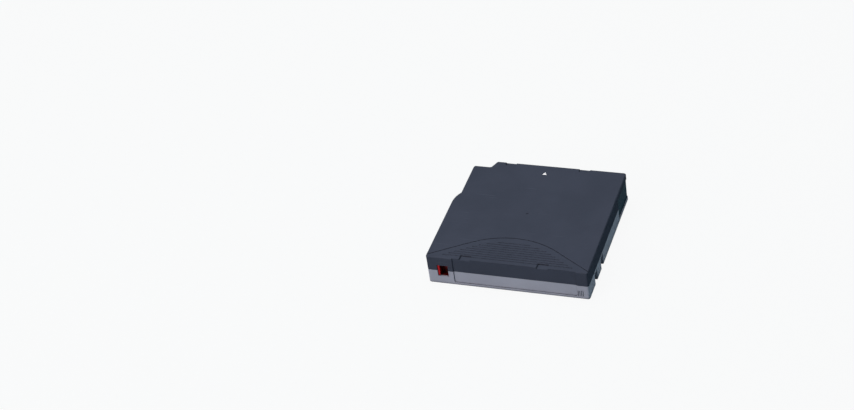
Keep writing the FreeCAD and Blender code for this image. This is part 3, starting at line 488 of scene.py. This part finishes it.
def printedBoard(name, look):
    material, tree, shader, position = newMaterial(name, {"IOR": 1.5})
    low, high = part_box("memory_board")
    middle = (low + high) / 2
    moved = addNode(tree, "VectorMath", {0: position, 1: middle}, operation="SUBTRACT")
    level = addNode(tree, "VectorRotate", {"Vector": moved.outputs[0],
                                           "Axis": (1, 0, 0),
                                           "Angle": math.radians(look["slope"])},
                    rotation_type="AXIS_ANGLE").outputs[0]
    split = addNode(tree, "SeparateXYZ", {0: level}).outputs
    sideways = maths(tree, "SUBTRACT", maths(tree, "ABSOLUTE", split["X"]),
                     (look["long"] - look["wide"]) / 2 * mm)
    inset = maths(tree, "MAXIMUM", sideways, maths(tree, "ABSOLUTE", split["Y"]))
    lines = maths(tree, "PINGPONG", inset, look["pitch"] * mm / 2)
    drawn = remap(tree, lines, look["line"][0] * mm, look["line"][1] * mm)
    outer = maths(tree, "GREATER_THAN", inset,
                  (look["wide"] / 2 - look["loops"] * look["pitch"]) * mm)
    track = maths(tree, "MULTIPLY", drawn, outer)
    clouds = noise(tree, position, look["cloudScale"], 3)
    green = srgb(*look["lacquer"])
    dimmed = [part * look["dim"] for part in green[:3]] + [1]
    lacquer = mixColour(tree, clouds, green, dimmed)
    colour = mixColour(tree, track, lacquer, srgb(*look["track"]))
    rough = spread(tree, clouds, 0.3, 0.7, look["gloss"])
    feed(tree, shader, colour, rough, track, look["depth"] * mm)
    return material


chip = {"colour": (24, 24, 26), "cloud": (34, 34, 36), "worn": (60, 60, 62),
        "shadeColour": (8, 8, 8), "reach": 0.3, "deep": (0.9, 0.3), "shade": 0.3,
        "grain": 0.12, "depth": 0.006, "gloss": (0.42, 0.55), "shine": 0.4,
        "edge": 0.05, "wear": 0.2, "scratch": 0.1, "smudge": 0.0}
paint(printedBoard("memoryBoard", board), "memory_board")
paint(mouldedPlastic("chipResin", chip), "memory_chip")
print("tape and board done")


# added pieces

sharpAngle = 35


def finish(bm, name, material, body, smooth=True):
    bmesh.ops.recalc_face_normals(bm, faces=bm.faces)
    mesh = bpy.data.meshes.new(name)
    bm.to_mesh(mesh)
    bm.free()
    piece = bpy.data.objects.new(name, mesh)
    bpy.context.scene.collection.objects.link(piece)
    mesh.materials.append(material)
    if smooth:
        mesh.shade_smooth()
        mesh.set_sharp_from_angle(angle=math.radians(sharpAngle))
    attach(piece, body)
    return piece


# the plain triangle that shows which end goes in first
arrow = {"tip": (0.0, 43.9), "tall": 2.6, "half": 1.45, "ink": 0.02, "sunk": 0.01,
         "corner": 0.10}
arrowInk = {"colour": (250, 251, 252), "cloud": (242, 244, 246), "worn": (160, 166, 176),
            "shadeColour": (120, 124, 130), "reach": 0.2, "deep": (0.9, 0.3), "shade": 0.2,
            "grain": 0.3, "depth": 0.004, "gloss": (0.5, 0.62), "shine": 0.3,
            "edge": 0.02, "wear": 0.1, "scratch": 0.3, "smudge": 0.0}


def makeArrow():
    bm = bmesh.new()
    x, y = arrow["tip"]
    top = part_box("top_shell")[1].z
    corners = [(x, y), (x - arrow["half"], y - arrow["tall"]),
               (x + arrow["half"], y - arrow["tall"])]
    foot = top - arrow["sunk"] * mm
    bm.faces.new([bm.verts.new((a * mm, b * mm, foot)) for a, b in corners])
    bmesh.ops.bevel(bm, geom=bm.verts, offset=arrow["corner"] * mm, offset_type="OFFSET",
                    segments=3, profile=0.5, affect="VERTICES", material=-1)
    raised = bmesh.ops.extrude_face_region(bm, geom=bm.faces)
    verts = [item for item in raised["geom"] if isinstance(item, bmesh.types.BMVert)]
    bmesh.ops.translate(bm, verts=verts, vec=(0, 0, (arrow["ink"] + arrow["sunk"]) * mm))
    finish(bm, "directionArrow", mouldedPlastic("arrowInk", arrowInk), "case",
           smooth=False)


makeArrow()

# case screws with a cross recess and a cut thread, in place of the plain ones
screw = {"places": [(-43.3, -36.4), (43.3, -36.4), (-43.3, 39.5), (34.1, 42.4)],
         "head": 2.15, "tall": 1.5, "rounded": [(0.35, 0.0), (0.1, 0.12), (0.0, 0.4)],
         "core": 0.92, "point": 0.6, "pointCore": 0.35, "sides": 32,
         "slotWide": 0.34, "slotLong": 1.25, "slotDeep": 0.85,
         "slotNarrows": 0.45, "slotRim": 0.25, "thread": 1.13, "pitch": 0.9,
         "ridge": 0.22, "plain": 1.2, "runOut": 0.8, "sunk": 0.02, "threadSteps": 20}


def makeScrews():
    low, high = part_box("case_screws")
    length = (high.z - low.z) / mm
    bm = bmesh.new()
    for x, y in screw["places"]:
        part = bmesh.new()
        profile = [(screw["slotLong"] + screw["slotRim"], 0.0)]
        profile += [(screw["head"] - inward, depth) for inward, depth in screw["rounded"]]
        profile += [(screw["head"], screw["tall"]), (screw["core"], screw["tall"]),
                    (screw["core"], length - screw["point"]), (screw["pointCore"], length)]
        ring = [part.verts.new((a * mm, 0, b * mm)) for a, b in profile]
        edges = [part.edges.new(pair) for pair in zip(ring, ring[1:])]
        bmesh.ops.spin(part, geom=ring + edges, cent=(0, 0, 0), axis=(0, 0, 1),
                       angle=2 * math.pi, steps=screw["sides"], use_merge=True)
        openEdges = [e for e in part.edges if e.is_boundary]
        rim = [e for e in openEdges if e.verts[0].co.z < screw["tall"] * mm]
        point = [e for e in openEdges if e.verts[0].co.z > screw["tall"] * mm]
        bmesh.ops.holes_fill(part, edges=point, sides=0)
        # the recess starts as a plus and narrows on its way in
        wide, long = screw["slotWide"] * mm, screw["slotLong"] * mm
        quarter = [(long, -wide), (long, wide), (wide, wide)]
        corners = []
        for _ in range(4):
            corners += quarter
            quarter = [(-b, a) for a, b in quarter]
        plus = [part.verts.new((a, b, 0)) for a, b in corners]
        cross = [part.edges.new(pair) for pair in zip(plus, plus[1:] + plus[:1])]
        bmesh.ops.bridge_loops(part, edges=rim + cross)
        walls = bmesh.ops.extrude_edge_only(part, edges=cross)["geom"]
        deep = [v for v in walls if isinstance(v, bmesh.types.BMVert)]
        for vert in deep:
            vert.co = (vert.co.x * screw["slotNarrows"], vert.co.y * screw["slotNarrows"],
                       screw["slotDeep"] * mm)
        floorEdges = [e for e in walls if isinstance(e, bmesh.types.BMEdge)
                      and all(v in deep for v in e.verts)]
        bmesh.ops.holes_fill(part, edges=floorEdges, sides=0)
        # one ridge run round the core makes the thread
        core, tip = (screw["core"] - screw["sunk"]) * mm, screw["thread"] * mm
        pitch, steps = screw["pitch"] * mm, screw["threadSteps"]
        start, rise = (screw["tall"] + screw["plain"]) * mm, screw["ridge"] * pitch
        tooth = [part.verts.new(co) for co in (
            (core, 0, start), (tip, 0, start + rise), (core, 0, start + 2 * rise))]
        ridge = [part.faces.new(tooth)] + list(tooth[0].link_edges) + list(tooth[2].link_edges)
        turns = int((length * mm - start - screw["runOut"] * mm) / pitch)
        bmesh.ops.spin(part, geom=list(set(tooth + ridge)), cent=(0, 0, 0), axis=(0, 0, 1),
                       dvec=(0, 0, pitch / steps), angle=2 * math.pi * turns,
                       steps=steps * turns)
        bmesh.ops.translate(part, verts=part.verts, vec=(x * mm, y * mm, low.z))
        bmesh.ops.recalc_face_normals(part, faces=part.faces)
        mesh = bpy.data.meshes.new("screwPart")
        part.to_mesh(mesh)
        part.free()
        bm.from_mesh(mesh)
        bpy.data.meshes.remove(mesh)
    piece = finish(bm, "crossScrews", metal("zincScrew", zincScrew), "case")
    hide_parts("case_screws")


makeScrews()
print("arrow and screws done")

# springs in round wire
wireSides = 10
turnSteps = 28
springs = {
    "brakeSpring": {"node": "brake_spring", "axis": 2, "turns": 4, "wire": 0.4,
                    "joint": "brake_lift", "travel": 1.8, "held": "high"},
    "doorSpring": {"node": "door_spring", "axis": 1, "turns": 8, "wire": 0.15,
                   "joint": "door_slide", "travel": 22.0, "held": "low"},
}


def makeSpring(name, look):
    low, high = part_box(look["node"])
    middle = (low + high) / 2
    axis = Vector([float(n == look["axis"]) for n in range(3)])
    across = Vector((1, 0, 0))
    wire = look["wire"] * mm
    radius = (high.x - low.x) / 2 - wire
    length = high[look["axis"]] - low[look["axis"]]
    start = middle - axis * (length / 2 - wire)
    bm = bmesh.new()
    ring = bmesh.ops.create_circle(bm, cap_ends=True, radius=wire,
                                   segments=wireSides)["verts"]
    stand = across.cross(axis).to_track_quat("Z", "Y").to_matrix().to_4x4()
    bmesh.ops.transform(bm, verts=ring, matrix=Matrix.Translation(start + across * radius)
                        @ stand)
    steps = turnSteps * look["turns"]
    rise = axis * (length - 2 * wire) / steps
    bmesh.ops.spin(bm, geom=ring + bm.edges[:] + bm.faces[:], cent=start, axis=axis,
                   dvec=rise, angle=2 * math.pi * look["turns"], steps=steps)
    bmesh.ops.remove_doubles(bm, verts=bm.verts, dist=1e-6)
    piece = finish(bm, name, springMetal, "case")
    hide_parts(look["node"])
    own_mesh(piece)


for springName, springLook in springs.items():
    makeSpring(springName, springLook)
print("springs done")


# stage

stage = {"ambient": 0.06, "ambientTint": (0.7, 0.92, 1, 1), "glow": 0.92, "drop": 0.05,
         "radius": 4, "paper": (148, 170, 178), "fibre": (154, 176, 184), "fibreScale": 180}


def seenDirect(tree):
    # 1 where the camera, a reflection or a clear part looks at the surface
    seen = addNode(tree, "LightPath").outputs
    mirrored = maths(tree, "MAXIMUM", seen["Is Glossy Ray"], seen["Is Transmission Ray"])
    return maths(tree, "MAXIMUM", seen["Is Camera Ray"], mirrored)


def makeStage():
    scene = bpy.context.scene
    scene.view_settings.view_transform = "Standard"
    world = bpy.data.worlds.new("studio")
    world.use_nodes = True
    scene.world = world
    tree = world.node_tree
    seen = seenDirect(tree)
    sky = tree.nodes["Background"]
    tint = mixColour(tree, seen, stage["ambientTint"], (1, 1, 1, 1))
    tree.links.new(tint, sky.inputs["Color"])
    tree.links.new(spread(tree, seen, 0.0, 1.0, (stage["ambient"], 1.0)),
                   sky.inputs["Strength"])

    bm = bmesh.new()
    under = Matrix.Translation((0, 0, cadBox[0].z - stage["drop"] * mm))
    bmesh.ops.create_circle(bm, cap_ends=True, radius=stage["radius"], segments=64,
                            matrix=under)
    mesh = bpy.data.meshes.new("table")
    bm.to_mesh(mesh)
    bm.free()
    table = bpy.data.objects.new("table", mesh)
    scene.collection.objects.link(table)
    material, tree, shader, position = newMaterial("palePaper", {"Roughness": 0.9})
    fibre = remap(tree, noise(tree, position, stage["fibreScale"], 4), 0.3, 0.7)
    colour = mixColour(tree, fibre, srgb(*stage["paper"]), srgb(*stage["fibre"]))
    tree.links.new(colour, shader.inputs["Base Color"])
    glow = addNode(tree, "Emission", {"Color": (1, 1, 1, 1)})
    share = maths(tree, "MULTIPLY", seenDirect(tree), stage["glow"])
    blend = addNode(tree, "MixShader", {0: share, 1: shader.outputs[0], 2: glow.outputs[0]})
    tree.links.new(blend.outputs[0], tree.nodes["Material Output"].inputs["Surface"])
    mesh.materials.append(material)


makeCamera()
makeLamps()
makeStage()
print("stage done")
